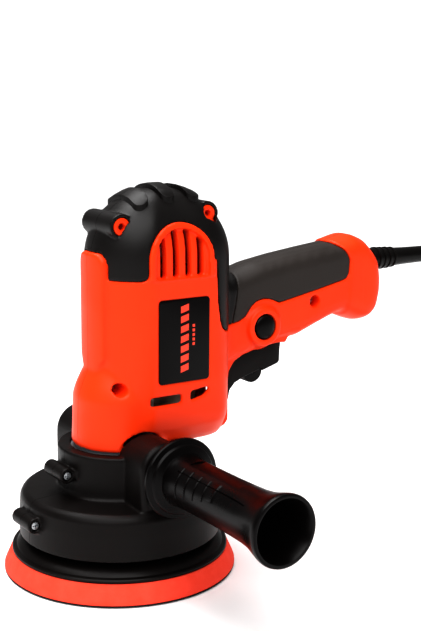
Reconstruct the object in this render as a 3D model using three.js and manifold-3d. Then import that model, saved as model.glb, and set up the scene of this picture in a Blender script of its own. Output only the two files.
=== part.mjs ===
// Rotary polisher: upright motor, pistol grip, screwed-in side handle and a six-inch hook-faced pad.
// Millimetres, +Z up. The origin is the centre of the hook face, X runs towards the grip and -Y towards the
// side handle. The motor stands beside the spindle and drives it through one pair of gears.
import * as THREE from 'three';
import { mergeVertices } from 'three/addons/utils/BufferGeometryUtils.js';
import Module from 'manifold-3d';

const wasm = await Module();
wasm.setup();

// Driving dimensions
const GAP = 0.3;
const SKIN = 2.7;
const WALL = 2.6;
const PAD_RADIUS = 75;
const FOAM_TOP_RADIUS = 70.1;
const FOAM_TOP = 12.8;
const GEAR_TEETH = 56;
const PINION_TEETH = 8;
const MODULE = 0.75;
const MOTOR_X = MODULE * (GEAR_TEETH + PINION_TEETH) / 2;
const GEAR_BOTTOM = 60;
const GEAR_TOP = 70;
const SHROUD_BOTTOM = 24.1;
const SHROUD_TOP = 53.2;
const SHROUD_RADIUS = 64.7;
const COLLAR_RADIUS = 39.8;
const COLLAR_TOP = 81.6;
const HANDLE_Z = 77.1;
const BOSS_REACH = 57;
const BOSS_HALF_WIDTH = 17;
const BARREL_HALF_WIDTH = 34;
const BARREL_BOTTOM = 118;
const DOME_BASE = 200;
const DOME_HALF = [52, 35.4, 45];
const DOME_X = 28;
const GRIP_HALF_WIDTH = 18;
const TRIGGER_HALF_WIDTH = 11.6;
const TRIGGER_PIVOT = [121, 139];
const TRIGGER_TRAVEL = 8;
const DIAL_CENTRE = [98.6, 116.4];
const DIAL_RADIUS = 7.8;
const DIAL_HALF_WIDTH = 8.4;
const LOCK_CENTRE = [99.5, 149];
const CORD_RADIUS = 3.5;
const COIL_CENTRE = [300, -66];
const COIL_RADIUS = 40;
const COIL_STEP = 7.3;
const COIL_BASE = 1.5;
const COIL_HEIGHT = 14.4;
const COIL_REACH = 27;
const CORD_Z = 3.9;
const PLUG_Z = 8.4;
const FAR = 400;

// Shapes

function solid(geometry) {
  geometry.deleteAttribute('normal');
  geometry.deleteAttribute('uv');
  const merged = mergeVertices(geometry, 1e-4);
  const position = merged.attributes.position;
  const index = [];
  for (let i = 0; i < merged.index.count; i += 3) {
    const corners = [0, 1, 2].map((k) => merged.index.getX(i + k));
    if (new Set(corners).size === 3) index.push(...corners);
  }
  if (signedVolume(position, index) < 0) index.reverse();
  return new wasm.Manifold(new wasm.Mesh({
    numProp: 3,
    vertProperties: new Float32Array(position.array),
    triVerts: new Uint32Array(index),
  }));
}

function signedVolume(position, index) {
  const [a, b, c] = [new THREE.Vector3(), new THREE.Vector3(), new THREE.Vector3()];
  let volume = 0;
  for (let i = 0; i < index.length; i += 3) {
    a.fromBufferAttribute(position, index[i]);
    b.fromBufferAttribute(position, index[i + 1]);
    c.fromBufferAttribute(position, index[i + 2]);
    volume += a.dot(b.cross(c)) / 6;
  }
  return volume;
}

function shapeOf(outline) {
  if (outline instanceof THREE.Shape) return outline;
  return new THREE.Shape(outline.map(([u, v]) => new THREE.Vector2(u, v)));
}

// An outline drawn in one plane and pushed through from one value to another along the third axis.
const PLANES = {
  xy: new THREE.Matrix4(),
  xz: new THREE.Matrix4().makeBasis(
    new THREE.Vector3(1, 0, 0), new THREE.Vector3(0, 0, 1), new THREE.Vector3(0, -1, 0)),
};

function extruded(plane, outline, from, to, round = 0) {
  const low = plane === 'xz' ? -to : from;
  const geometry = new THREE.ExtrudeGeometry(shapeOf(outline), {
    depth: to - from - 2 * round,
    bevelEnabled: round > 0,
    bevelThickness: round,
    bevelSize: round,
    bevelOffset: -round,
    bevelSegments: 2,
    curveSegments: 8,
  });
  geometry.translate(0, 0, low + round);
  geometry.applyMatrix4(PLANES[plane]);
  return solid(geometry);
}

function box(x0, x1, y0, y1, z0, z1) {
  const geometry = new THREE.BoxGeometry(x1 - x0, y1 - y0, z1 - z0);
  geometry.translate((x0 + x1) / 2, (y0 + y1) / 2, (z0 + z1) / 2);
  return solid(geometry);
}

// A rod along one axis: 'at' holds the other two coordinates, in X, Y, Z order.
function rod(axis, radius, from, to, at = [0, 0], sides = 16) {
  const geometry = new THREE.CylinderGeometry(radius, radius, to - from, sides);
  const middle = (from + to) / 2;
  if (axis === 'x') geometry.rotateZ(Math.PI / 2).translate(middle, at[0], at[1]);
  if (axis === 'y') geometry.translate(at[0], middle, at[1]);
  if (axis === 'z') geometry.rotateX(Math.PI / 2).translate(at[0], at[1], middle);
  return solid(geometry);
}

// A profile of [radius, height] turned about Z. A profile that leaves the axis open closes on itself.
function turned(profile, sides = 24) {
  const points = profile.map(([r, z]) => new THREE.Vector2(r, z));
  if (profile[0][0] > 0) points.push(points[0].clone());
  return solid(new THREE.LatheGeometry(points, sides).rotateX(Math.PI / 2));
}

function ring(inner, outer, from, to, sides = 20) {
  return turned([[inner, from], [outer, from], [outer, to], [inner, to]], sides);
}

// Grows an outline that runs anticlockwise by a distance, or shrinks it when the distance is negative.
function grown(outline, distance) {
  const count = outline.length;
  return outline.map((point, i) => {
    const before = outline[(i + count - 1) % count];
    const after = outline[(i + 1) % count];
    const a = new THREE.Vector2(point[1] - before[1], before[0] - point[0]).normalize();
    const b = new THREE.Vector2(after[1] - point[1], point[0] - after[0]).normalize();
    const mitre = a.clone().add(b).multiplyScalar(distance / (1 + a.dot(b)));
    return [point[0] + mitre.x, point[1] + mitre.y];
  });
}

function arc([x, y], radius, fromDegrees, toDegrees, steps) {
  return Array.from({ length: steps + 1 }, (_, i) => {
    const angle = THREE.MathUtils.degToRad(fromDegrees + (toDegrees - fromDegrees) * i / steps);
    return [x + radius * Math.cos(angle), y + radius * Math.sin(angle)];
  });
}

function polar(radius, degrees) {
  const angle = THREE.MathUtils.degToRad(degrees);
  return [radius * Math.cos(angle), radius * Math.sin(angle)];
}

function mirrored(half) {
  const offAxis = half.filter(([, y]) => Math.abs(y) > 1e-6);
  return [...half, ...offAxis.map(([x, y]) => [x, -y]).reverse()];
}

function joined(pieces) {
  return pieces.reduce((sum, piece) => sum.add(piece));
}

function above(z) {
  return box(-FAR, FAR, -FAR, FAR, z, FAR);
}

// The left or right half of something split down the middle.
function side(whole, sign) {
  const [from, to] = sign < 0 ? [-FAR, -GAP / 2] : [GAP / 2, FAR];
  return whole.intersect(box(-FAR, FAR, from, to, -FAR, FAR));
}

// A rod along Y on one side of the middle, between two distances from it.
function sideRod(sign, radius, near, far, at, sides) {
  return rod('y', radius, Math.min(sign * near, sign * far), Math.max(sign * near, sign * far), at, sides);
}

// Finishes and the scene graph

function finish(color, roughness, metalness = 0) {
  return new THREE.MeshStandardMaterial({ color, roughness, metalness });
}

const ORANGE = finish(0xff4f24, 0.42);
const FOAM = finish(0xff4a36, 0.9);
const SATIN_BLACK = finish(0x1d1c1d, 0.45);
const GLOSS_BLACK = finish(0x0d0d0f, 0.15);
const SOFT_GREY = finish(0x3a3736, 0.75);
const STEEL = finish(0xb4b6ba, 0.3, 1);
const DARK_STEEL = finish(0x55575b, 0.4, 1);
const CAST = finish(0xa9abae, 0.5, 1);
const COPPER = finish(0xb4622f, 0.35, 1);
const CARBON = finish(0x26272a, 0.6);
const NATURAL = finish(0xd8d4c8, 0.5);

const polisher = new THREE.Group();

function group(parent, x, y, z) {
  const child = new THREE.Group();
  child.position.set(x, y, z);
  parent.add(child);
  return child;
}

function node(parent, name, manifold, material) {
  const shell = manifold.getMesh();
  const geometry = new THREE.BufferGeometry();
  geometry.setAttribute('position', new THREE.BufferAttribute(shell.vertProperties, 3));
  geometry.setIndex(new THREE.BufferAttribute(shell.triVerts, 1));
  geometry.computeVertexNormals();
  const mesh = new THREE.Mesh(geometry, material);
  mesh.name = name;
  parent.add(mesh);
}

// Gears: a toothed outline whose first tooth, or gap, points along +X

function toothed(teeth, startsWithGap) {
  const pitchRadius = MODULE * teeth / 2;
  const pitch = 360 / teeth;
  const root = pitchRadius - 1.15 * MODULE;
  const tip = pitchRadius + 0.85 * MODULE;
  const points = [];
  for (let i = 0; i < teeth; i += 1) {
    const centre = (i + (startsWithGap ? 0.5 : 0)) * pitch;
    for (const [radius, share] of [[root, -0.3], [tip, -0.12], [tip, 0.12], [root, 0.3]]) {
      points.push(polar(radius, centre + share * pitch));
    }
  }
  return points;
}

// Pad, plate and spindle

function buildSpindle() {
  const spindle = group(polisher, 0, 0, 0);
  node(spindle, 'hook_face', turned([[0, 0], [PAD_RADIUS, 0], [PAD_RADIUS - 0.3, 1.5], [0, 1.5]], 40), SATIN_BLACK);
  node(spindle, 'foam_pad', turned([
    [16, 1.8], [PAD_RADIUS - 0.4, 1.8], [PAD_RADIUS - 1.4, 4], [FOAM_TOP_RADIUS, FOAM_TOP], [16, FOAM_TOP],
  ], 40), FOAM);
  node(spindle, 'backing_plate', turned([
    [13.3, 4], [15.7, 4], [15.7, 13.1], [69.4, 13.1], [69.4, 15], [62, 19.5], [40, 20.5], [24, 24], [13.3, 24],
  ], 40), SATIN_BLACK);
  const hub = ring(7.2, 13, 5, 24.3).add(rod('z', 13, 24.3 - GAP, 29, [0, 0], 6)).subtract(rod('z', 7.2, 4, 30));
  node(spindle, 'hub_insert', hub, STEEL);
  node(spindle, 'spindle', turned([
    [0, 6], [6.9, 6], [6.9, 29.3], [10.5, 29.3], [10.5, 32.5], [7.4, 32.5], [7.4, 42.6], [9.5, 42.6],
    [9.5, 57], [7, 57], [7, 73], [4, 73], [4, 86], [0, 86],
  ], 18), STEEL);
  node(spindle, 'spindle_circlip', ring(7.25, 10.2, 71.6, 72.8, 24), DARK_STEEL);
  const gear = extruded('xy', toothed(GEAR_TEETH, true), GEAR_BOTTOM, GEAR_TOP);
  const hubRing = ring(7.3, 11, GEAR_BOTTOM - 2.5, GEAR_TOP + 1.2, 16);
  node(spindle, 'driven_gear', gear.add(hubRing).subtract(rod('z', 7.3, 50, 80)), DARK_STEEL);
}

// Motor: everything that turns about the armature's own axis

const CORE_BOTTOM = 128;
const CORE_TOP = 168;
const CORE_RADIUS = 16;
const SLOTS = 8;
const FAN_BLADES = 9;

function buildArmature() {
  const armature = group(polisher, MOTOR_X, 0, 0);
  const pinion = extruded('xy', toothed(PINION_TEETH, false), GEAR_BOTTOM - 1.5, GEAR_TOP + 2);
  const shaft = turned([
    [0, 58], [1.8, 58], [1.8, 72.3], [3.8, 73.5], [3.8, 100], [4.4, 100], [4.4, 198.6], [3.8, 198.6], [3.8, 209],
    [0, 209],
  ], 14);
  node(armature, 'armature_shaft', shaft.add(pinion.rotate([0, 0, 180])), STEEL);
  buildFan(armature);
  const cuts = [];
  const bars = [];
  for (let i = 0; i < SLOTS; i += 1) {
    const turn = [0, 0, 360 * i / SLOTS];
    cuts.push(box(8.5, 17, -2, 2, CORE_BOTTOM - 1, CORE_TOP + 1).rotate(turn));
    bars.push(box(9, 14.5, -1.6, 1.6, CORE_BOTTOM - 4, CORE_TOP + 4).rotate(turn));
  }
  const core = ring(4.7, CORE_RADIUS, CORE_BOTTOM, CORE_TOP).subtract(joined(cuts));
  node(armature, 'armature_core', core, DARK_STEEL);
  const ends = [
    ring(5.2, 14.5, CORE_BOTTOM - 8, CORE_BOTTOM - GAP, 24), ring(5.2, 14.5, CORE_TOP + GAP, CORE_TOP + 8, 24),
  ];
  node(armature, 'armature_windings', joined([...ends, ...bars]), COPPER);
  node(armature, 'commutator', ring(4.7, 11, 179, 196, 18), COPPER);
}

function buildFan(armature) {
  const blades = [];
  for (let i = 0; i < FAN_BLADES; i += 1) {
    blades.push(box(8, 28.5, -0.8, 0.8, 105, 116).rotate([0, 0, 360 * i / FAN_BLADES]));
  }
  const disc = ring(4.7, 28.5, 103, 105.5).add(ring(4.7, 9, 103, 116, 24));
  node(armature, 'cooling_fan', joined([disc, ...blades]), NATURAL);
}

function buildStator() {
  const stator = group(polisher, MOTOR_X, 0, 0);
  const pocket = (sign) => ring(17, 24.5, CORE_BOTTOM - 1, CORE_TOP + 1)
    .intersect(box(sign < 0 ? -30 : 9, sign < 0 ? -9 : 30, -13.5, 13.5, 100, 200));
  const core = ring(16.8, 30, CORE_BOTTOM, CORE_TOP).subtract(pocket(-1)).subtract(pocket(1));
  node(stator, 'stator_core', core, DARK_STEEL);
  for (const [name, sign] of [['field_coil_front', -1], ['field_coil_rear', 1]]) {
    const coil = ring(17.4, 24, CORE_BOTTOM - 6, CORE_TOP + 6)
      .intersect(box(sign < 0 ? -30 : 9.4, sign < 0 ? -9.4 : 30, -13, 13, 100, 200));
    node(stator, name, coil, COPPER);
    const [from, to] = sign < 0 ? [-26, -12.5] : [12.5, 26];
    const sleeve = box(from, to, -5, 5, 182, 193).subtract(box(from - 1, to + 1, -3.4, 3.4, 183.6, 191.4));
    node(stator, `brush_holder_${sign < 0 ? 'front' : 'rear'}`, sleeve, COPPER);
    const [inner, outer] = sign < 0 ? [-23, -11.3] : [11.3, 23];
    node(stator, `carbon_brush_${sign < 0 ? 'front' : 'rear'}`, box(inner, outer, -3.1, 3.1, 183.9, 191.1), CARBON);
  }
  node(stator, 'front_armature_bearing', ring(4, 11, 88, 95, 20), STEEL);
  node(stator, 'rear_armature_bearing', ring(4, 9.5, 200, 207, 20), STEEL);
}

// Gear case, its bracket and the spindle's bearings

function buildGearCase() {
  const gearCase = group(polisher, 0, 0, 0);
  const cup = turned([
    [0, 31.5], [21, 31.5], [21, 44], [36.8, 50], [36.8, 79.7], [0, 79.7],
  ], 32);
  const chamber = rod('z', 23.6, 46, 90).add(rod('z', 6.5, 56, 90, [MOTOR_X, 0]));
  const bosses = [-1, 1].map((sign) => sideRod(sign, 12.5, 30, BOSS_REACH, [0, HANDLE_Z]));
  const holes = [-1, 1].map((sign) => sideRod(sign, 5.2, 40, BOSS_REACH + 3, [0, HANDLE_Z], 12));
  const bore = rod('z', 12, 30, 50).add(rod('z', 16.3, 33.1, 48));
  const body = joined([cup, ...bosses]).subtract(joined([chamber, bore, ...holes]));
  node(gearCase, 'gear_case', body.subtract(rod('z', 29, 79.7, 95)), CAST);
  node(gearCase, 'spindle_bearing', ring(7.7, 16, 33.4, 42.4), STEEL);
  node(gearCase, 'spindle_bush', ring(4.25, 7.5, 78, 86, 24), COPPER);
  const plate = joined([
    rod('z', 28.8, 80, 84), rod('z', 15, 82.6, 96, [MOTOR_X, 0]), rod('z', 11, 80, 88),
  ]);
  const seats = joined([
    rod('z', 11.3, 87.7, 97, [MOTOR_X, 0]), rod('z', 6, 79, 90, [MOTOR_X, 0]), rod('z', 7.8, 77, 89),
  ]);
  node(gearCase, 'bearing_bracket', plate.subtract(seats), CAST);
}

// Shroud: two halves clamped round the gear case

const SCREW_SEATS = [[-66, 40.4], [66, 40.4], [-43.5, 68.4], [43.5, 68.4]];

function bossOutline(grow) {
  const half = BOSS_HALF_WIDTH + grow;
  return [...arc([0, HANDLE_Z], half, 0, 180, 10), [-half, SHROUD_TOP - 1], [half, SHROUD_TOP - 1]];
}

function buildShroud() {
  const skirt = turned([
    [62.2, SHROUD_BOTTOM], [SHROUD_RADIUS, SHROUD_BOTTOM], [64.2, 49.5], [60.5, SHROUD_TOP],
    [COLLAR_RADIUS, SHROUD_TOP + 1], [COLLAR_RADIUS, COLLAR_TOP], [37.1, COLLAR_TOP], [37.1, 50.5], [59.5, 50.5],
    [61.7, 48],
  ], 40);
  const tubes = SCREW_SEATS.map((at) => rod('y', 4.3, -12, 12, at, 14));
  const cheekEnd = BOSS_REACH + 1;
  const cheeks = [
    extruded('xz', bossOutline(0), -cheekEnd, -BARREL_HALF_WIDTH),
    extruded('xz', bossOutline(0), BARREL_HALF_WIDTH, cheekEnd),
  ];
  const inside = turned([[0, 30], [62, 30], [59.4, 50.6], [37.1, 50.6], [37.1, 100], [0, 100]], 40);
  const handleBores = rod('y', 12.8, -70, 70, [0, HANDLE_Z]);
  const screwHoles = joined(SCREW_SEATS.map((at) => rod('y', 1.9, -20, 20, at, 12)));
  const heads = joined(SCREW_SEATS.map((at) => rod('y', 3.2, -20, -9, at, 12)));
  const whole = joined([skirt, ...tubes, ...cheeks]).subtract(joined([inside, handleBores, screwHoles, heads]));
  node(polisher, 'shroud_left', side(whole, -1), SATIN_BLACK);
  node(polisher, 'shroud_right', side(whole, 1), SATIN_BLACK);
  SCREW_SEATS.forEach((at, i) => {
    const screw = rod('y', 1.6, -9.6, 10, at, 12).add(rod('y', 2.9, -11.6, -9.3, at, 12));
    node(polisher, `shroud_screw_${i + 1}`, screw, STEEL);
  });
}

// Housing: one outer form, hollowed, split in two and partly covered by soft skins

const GRIP_OUTLINE = [
  [60, 121], [80.5, 126.2], [99.2, 130.8], [117.2, 135.6], [132.8, 137], [147.5, 142.5], [161.1, 147.2], [171.4, 150],
  [177.9, 146.6], [186.6, 143.1], [196.6, 144.1], [203.7, 150.5], [206.2, 162.9], [206.2, 174.2], [204.2, 185.6],
  [198.8, 192.6], [191.4, 199.8], [181.3, 203.7], [163.4, 199.4], [145.8, 197.4], [119.5, 194], [97.8, 190.3],
  [81.7, 185.4], [60, 183],
];

const SOFT_GRIP_OUTLINE = [
  [75.5, 154], [85.7, 156.8], [90.5, 163.6], [99.2, 167.4], [108.2, 166.1], [113.3, 163.5], [145.9, 169.9],
  [166.2, 174.1], [172.9, 177.2], [174, 210], [75.5, 210],
];

const SPINE_END_X = 74.8;
const SPINE_OUTLINE = [[54, 210], [54, 172], [60, 158], [66, 152.5], [74.5, 152.5], [100, 152.5], [100, 210]];

function barrelOutline(inset) {
  const left = arc([15, 0], 35 - inset, 180, 103.8, 6);
  const corner = arc([58, 20], 14 - inset, 90, 0, 3);
  return mirrored([...left, ...corner]).reverse();
}

function noseOutline(inset) {
  const half = [...arc([0, 0], 30.5, 180, 100, 5), [14, 32.6], [38, 32.6], [52, 28.5], [75.7, 13], [84, 5]];
  return grown(mirrored(half).reverse(), -inset);
}

function dome(inset) {
  const geometry = new THREE.SphereGeometry(1, 24, 12).rotateX(Math.PI / 2);
  const half = DOME_HALF.map((length) => length - inset);
  geometry.scale(...half).translate(DOME_X, 0, DOME_BASE);
  const upper = solid(geometry).intersect(above(DOME_BASE));
  const skirt = new THREE.CylinderGeometry(1, 1, 1, 24).rotateX(Math.PI / 2);
  skirt.scale(half[0], half[1], 12 - inset).translate(DOME_X, 0, DOME_BASE - (12 - inset) / 2 + 0.01);
  return upper.add(solid(skirt));
}

function neck(inset) {
  return turned([
    [0, 81.9 + inset], [33 - inset, 81.9 + inset], [31 - inset, 92], [30.5 - inset, 117], [21.8 - inset, 134], [0, 134],
  ]);
}

function form(inset) {
  return joined([
    extruded('xy', barrelOutline(inset), BARREL_BOTTOM - 6, DOME_BASE - 5),
    extruded('xy', noseOutline(inset), 82.2 + inset, 121 - inset, 3),
    neck(inset),
    extruded('xz', grown(GRIP_OUTLINE, -inset), -GRIP_HALF_WIDTH + inset, GRIP_HALF_WIDTH - inset, 7),
    box(-22.2 + inset, 10, -14.5 + inset, 14.5 - inset, 130, 195),
  ]);
}

const ARCH_CENTRE = [26.4, 200];
const ARCH_SLOTS = [11.5, 20.5, 29.5, 38.5];

function archOutline(grow) {
  const radius = 23.4 + grow;
  const [x] = ARCH_CENTRE;
  return [[x - radius, 184], ...arc(ARCH_CENTRE, radius, 180, 0, 10), [x + radius, 184]].reverse();
}

function softRegion(grow) {
  return extruded('xz', grown(SOFT_GRIP_OUTLINE, grow), -FAR, FAR)
    .add(extruded('xz', grown(SPINE_OUTLINE, grow), -FAR, FAR));
}

function triggerOutline() {
  return [
    [85.4, 99.8], [89.1, 106.6], [97, 110.4], [110, 112.4], [121.3, 116.5], [127, 119.2], [126.4, 131.2],
    [126, 143], [115, 143], [112, 135], [99.2, 131.5], [86.7, 129.5], [80.5, 126.8], [77.5, 121.3], [86.5, 119.5],
  ];
}

function triggerSpace() {
  const [x, z] = TRIGGER_PIVOT;
  const half = TRIGGER_HALF_WIDTH + 0.5;
  const pocket = extruded('xz', grown(triggerOutline(), 0.8), -half, half).translate([-x, 0, -z]);
  const swept = Array.from({ length: TRIGGER_TRAVEL + 1 }, (_, degrees) => pocket.rotate([0, degrees, 0]));
  return joined(swept).translate([x, 0, z]);
}

const HOUSING_SCREWS = [[-12.6, 121.6], [143.5, 161.7], [-8, 222], [53, 227]];
const CAP_BOTTOM = 189.5;

function buildHousing() {
  const arch = extruded('xz', archOutline(0), -FAR, FAR);
  const capSpace = dome(-1).intersect(above(CAP_BOTTOM - GAP)).subtract(arch);
  const skinned = softRegion(GAP);
  const outer = joined([
    form(0).subtract(skinned).subtract(capSpace),
    form(SKIN + GAP),
    dome(SKIN + GAP),
    dome(0.8).intersect(arch).intersect(above(184)),
  ]);
  const deepSkin = softRegion(SKIN + GAP);
  const cavity = joined([
    form(WALL).subtract(deepSkin).subtract(above(187)),
    form(SKIN + GAP + WALL),
    dome(SKIN + GAP + WALL),
  ]);
  const wireHoles = box(46, 62, -20, -4, 190, 220).add(box(46, 62, 4, 20, 190, 220));
  const rearWeb = extruded('xy', barrelOutline(1), 201.5, 205.5)
    .subtract(rod('z', 9.8, 190, 220, [MOTOR_X, 0])).subtract(wireHoles);
  const seatBlocks = joined(HOUSING_SCREWS.map((at) => rod('y', 5.2, -14, 14, at, 12)))
    .add(box(-32, HOUSING_SCREWS[0][0], -10, 10, 118.5, 124.5));
  const lockRim = rod('y', 16.5, -20.5, -15, LOCK_CENTRE, 20).subtract(softRegion(GAP));
  const shell = outer.add(lockRim).subtract(cavity)
    .add(rearWeb.add(seatBlocks).intersect(joined([form(0.5), dome(SKIN + 1)])));
  const whole = shell.subtract(joined(housingOpenings()));
  node(polisher, 'housing_left', side(whole, -1), ORANGE);
  node(polisher, 'housing_right', side(whole, 1), ORANGE);
  buildSkins(arch);
  HOUSING_SCREWS.forEach((at, i) => {
    const screw = rod('y', 1.9, -9, 12, at, 12).add(rod('y', 3.4, -11.5, -8.7, at, 12));
    node(polisher, `housing_screw_${i + 1}`, screw, STEEL);
  });
}

function housingOpenings() {
  const openings = [
    rod('z', 29.5, 70, 90),
    rod('z', COLLAR_RADIUS + 0.5, 40, 82.2),
    rod('x', 5.4, 195, 215, [0, 184], 16),
    rod('y', 8.6, -40, -10, LOCK_CENTRE, 16),
    extruded('xz', bossOutline(GAP + 0.2), -80, -27),
    extruded('xz', bossOutline(GAP + 0.2), 27, 80),
    rod('z', 15.6, 70, 97, [MOTOR_X, 0]),
    triggerSpace(),
    ...HOUSING_SCREWS.map((at) => rod('y', 2.2, -14, 13, at, 12)),
    ...HOUSING_SCREWS.map((at) => rod('y', 3.8, -60, -8.5, at, 16)),
  ];
  for (const x of ARCH_SLOTS) {
    openings.push(box(x, x + 4, -FAR, FAR, 191, 192 + 24 * Math.cos((x + 2 - ARCH_CENTRE[0]) / 20)));
  }
  for (const [from, to] of [[-FAR, -20], [20, FAR]]) {
    openings.push(box(3.5, 25, from, to, 111.5, 115.5), box(33.4, 50, from, to, 112.5, 118));
  }
  return openings;
}

function buildSkins(arch) {
  const screwEyes = joined(HOUSING_SCREWS.slice(2).map((at) => rod('y', 4.4, -FAR, FAR, at, 16)));
  const archHole = extruded('xz', archOutline(GAP), -FAR, FAR);
  const gripCut = extruded('xz', grown(GRIP_OUTLINE, GAP), -GRIP_HALF_WIDTH - GAP, GRIP_HALF_WIDTH + GAP, 7);
  const capShell = dome(0).intersect(above(CAP_BOTTOM)).subtract(dome(SKIN)).subtract(form(SKIN));
  const skin = form(0).subtract(form(SKIN));
  const spine = skin.intersect(extruded('xz', SPINE_OUTLINE, -FAR, FAR))
    .subtract(above(CAP_BOTTOM + 0.1)).subtract(box(SPINE_END_X, FAR, -FAR, FAR, -FAR, FAR));
  const cap = capShell.add(spine).subtract(archHole).subtract(gripCut).subtract(screwEyes);
  const gripSkin = skin.intersect(extruded('xz', SOFT_GRIP_OUTLINE, -FAR, FAR))
    .subtract(dome(-GAP)).intersect(box(SPINE_END_X + 0.5, FAR, -FAR, FAR, -FAR, FAR));
  node(polisher, 'cap_cover_left', side(cap, -1), SOFT_GREY);
  node(polisher, 'cap_cover_right', side(cap, 1), SOFT_GREY);
  node(polisher, 'grip_cover_left', side(gripSkin, -1), SOFT_GREY);
  node(polisher, 'grip_cover_right', side(gripSkin, 1), SOFT_GREY);
  const labelShape = [[11, 124], [44, 124], [46, 126], [46, 175], [44, 177], [11, 177], [9, 175], [9, 126]];
  const [near, far] = [BARREL_HALF_WIDTH + GAP, BARREL_HALF_WIDTH + 1.1];
  node(polisher, 'label_left', extruded('xz', labelShape, -far, -near), GLOSS_BLACK);
  node(polisher, 'label_right', extruded('xz', labelShape, near, far), GLOSS_BLACK);
}

// Trigger, speed dial, lock button, switch and their springs

function spring(radius, wire, length, turns) {
  const helix = new THREE.CatmullRomCurve3(Array.from({ length: turns * 8 + 1 }, (_, i) => new THREE.Vector3(
    radius * Math.cos(i * Math.PI / 4), radius * Math.sin(i * Math.PI / 4), length * i / (turns * 8))));
  const section = new THREE.Shape().absarc(0, 0, wire, 0, 2 * Math.PI);
  return solid(new THREE.ExtrudeGeometry(section, {
    extrudePath: helix, steps: turns * 7, bevelEnabled: false, curveSegments: 2,
  }));
}

function buildControls() {
  const pivot = rod('y', 2.2, -20, 20, TRIGGER_PIVOT, 12);
  const dialSlot = DIAL_HALF_WIDTH + 0.4;
  const dialSpace = rod('y', DIAL_RADIUS + 0.6, -dialSlot, dialSlot, DIAL_CENTRE, 16);
  const axleHole = rod('y', 1.75, -dialSlot - 1.6, dialSlot + 1.6, DIAL_CENTRE, 12);
  const trigger = extruded('xz', triggerOutline(), -TRIGGER_HALF_WIDTH, TRIGGER_HALF_WIDTH, 1.5)
    .subtract(pivot).subtract(dialSpace).subtract(axleHole);
  node(polisher, 'trigger', trigger, SATIN_BLACK);
  const dial = rod('y', DIAL_RADIUS, -DIAL_HALF_WIDTH, DIAL_HALF_WIDTH, DIAL_CENTRE, 20)
    .add(rod('y', 1.6, -dialSlot - 1.2, dialSlot + 1.2, DIAL_CENTRE, 12));
  node(polisher, 'speed_dial', dial, GLOSS_BLACK);
  node(polisher, 'switch_body', box(84, 112, -9, 9, 141.5, 160).add(box(86, 90, -3, 3, 139.6, 142)), SATIN_BLACK);
  const lock = group(polisher, LOCK_CENTRE[0], 0, LOCK_CENTRE[1]);
  const button = rod('y', 8.2, -22, -17).add(rod('y', 4, -18, -14.6, [0, 0], 20));
  node(lock, 'lock_button', button, GLOSS_BLACK);
  const lockSpring = group(lock, 0, -9.6, 0);
  lockSpring.rotation.x = Math.PI / 2;
  node(lockSpring, 'lock_spring', spring(3.2, 0.35, 3.6, 3), STEEL);
  const triggerSpring = group(polisher, 119, 0, 147);
  node(triggerSpring, 'trigger_spring', spring(3, 0.4, 10, 5), STEEL);
}

// Side handle

function buildSideHandle() {
  const handle = group(polisher, 0, -BOSS_REACH - 1 - GAP, HANDLE_Z);
  handle.rotation.x = Math.PI / 2;
  const grip = turned([
    [5.3, 0], [11.5, 0], [12.5, 12], [24.9, 14.5], [24.9, 17], [21, 19.5], [16.6, 20], [15.2, 26], [14.2, 40],
    [14.4, 62], [15, 82], [16.8, 100], [20.6, 114], [20.4, 118.5], [16.4, 118.5], [12.4, 100], [10.5, 62],
    [10.5, 45], [5.3, 45],
  ], 28);
  node(handle, 'side_handle', grip, SATIN_BLACK);
  const bolt = turned([[0, -17.5], [4.9, -17.5], [4.9, 45.3], [8.6, 45.3], [8.6, 51], [0, 51]], 16);
  node(handle, 'side_handle_bolt', bolt, STEEL);
}

// Mains cord: strain relief, free run, coil on the floor, tie and plug

const SLEEVE_END_X = 262;
const CORD_START = [SLEEVE_END_X + GAP, 0, 183.4];

function tubeAlong(points, radius, steps) {
  const path = new THREE.CatmullRomCurve3(points.map((p) => new THREE.Vector3(...p)), false, 'centripetal');
  const section = new THREE.Shape().absarc(0, 0, radius, 0, 2 * Math.PI);
  return solid(new THREE.ExtrudeGeometry(section, {
    extrudePath: path, steps, bevelEnabled: false, curveSegments: 5,
  }));
}

function buildCord() {
  const sleeve = turned([
    [0, 0], [4.9, 0], [4.9, 8], [7.6, 8.5], [7.6, 14], [6.2, 30], [5.6, 64], [0, 64],
  ], 16);
  const sleeveGroup = group(polisher, SLEEVE_END_X - 64, 0, 184);
  sleeveGroup.rotation.y = Math.PI / 2;
  node(sleeveGroup, 'strain_relief', sleeve, SATIN_BLACK);
  node(polisher, 'cord_clamp', box(185, 193, -5.5, 5.5, 178, 187), NATURAL);
  const entryX = COIL_CENTRE[0] + COIL_RADIUS + COIL_STEP;
  const run = [
    CORD_START, [274, 0, 182.4], [289, 0, 174], [299, 0, 157], [302, 0, 135], [303, 0, 95], [304, 0, 50],
    [309, 0, 24], [322, -3, 8], [338, -12, CORD_Z], [entryX, -28, CORD_Z],
    [entryX, COIL_CENTRE[1] + COIL_REACH, CORD_Z],
  ];
  node(polisher, 'power_cord', tubeAlong(run, CORD_RADIUS, 32), SATIN_BLACK);
  const inner = COIL_RADIUS - 1.5 * COIL_STEP;
  const outer = COIL_RADIUS + 1.5 * COIL_STEP;
  const coil = group(polisher, ...COIL_CENTRE, COIL_BASE);
  node(coil, 'cord_coil', ring(inner, outer, 0, COIL_HEIGHT, 32), SATIN_BLACK);
  buildTieAndPlug(inner, outer);
}

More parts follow.
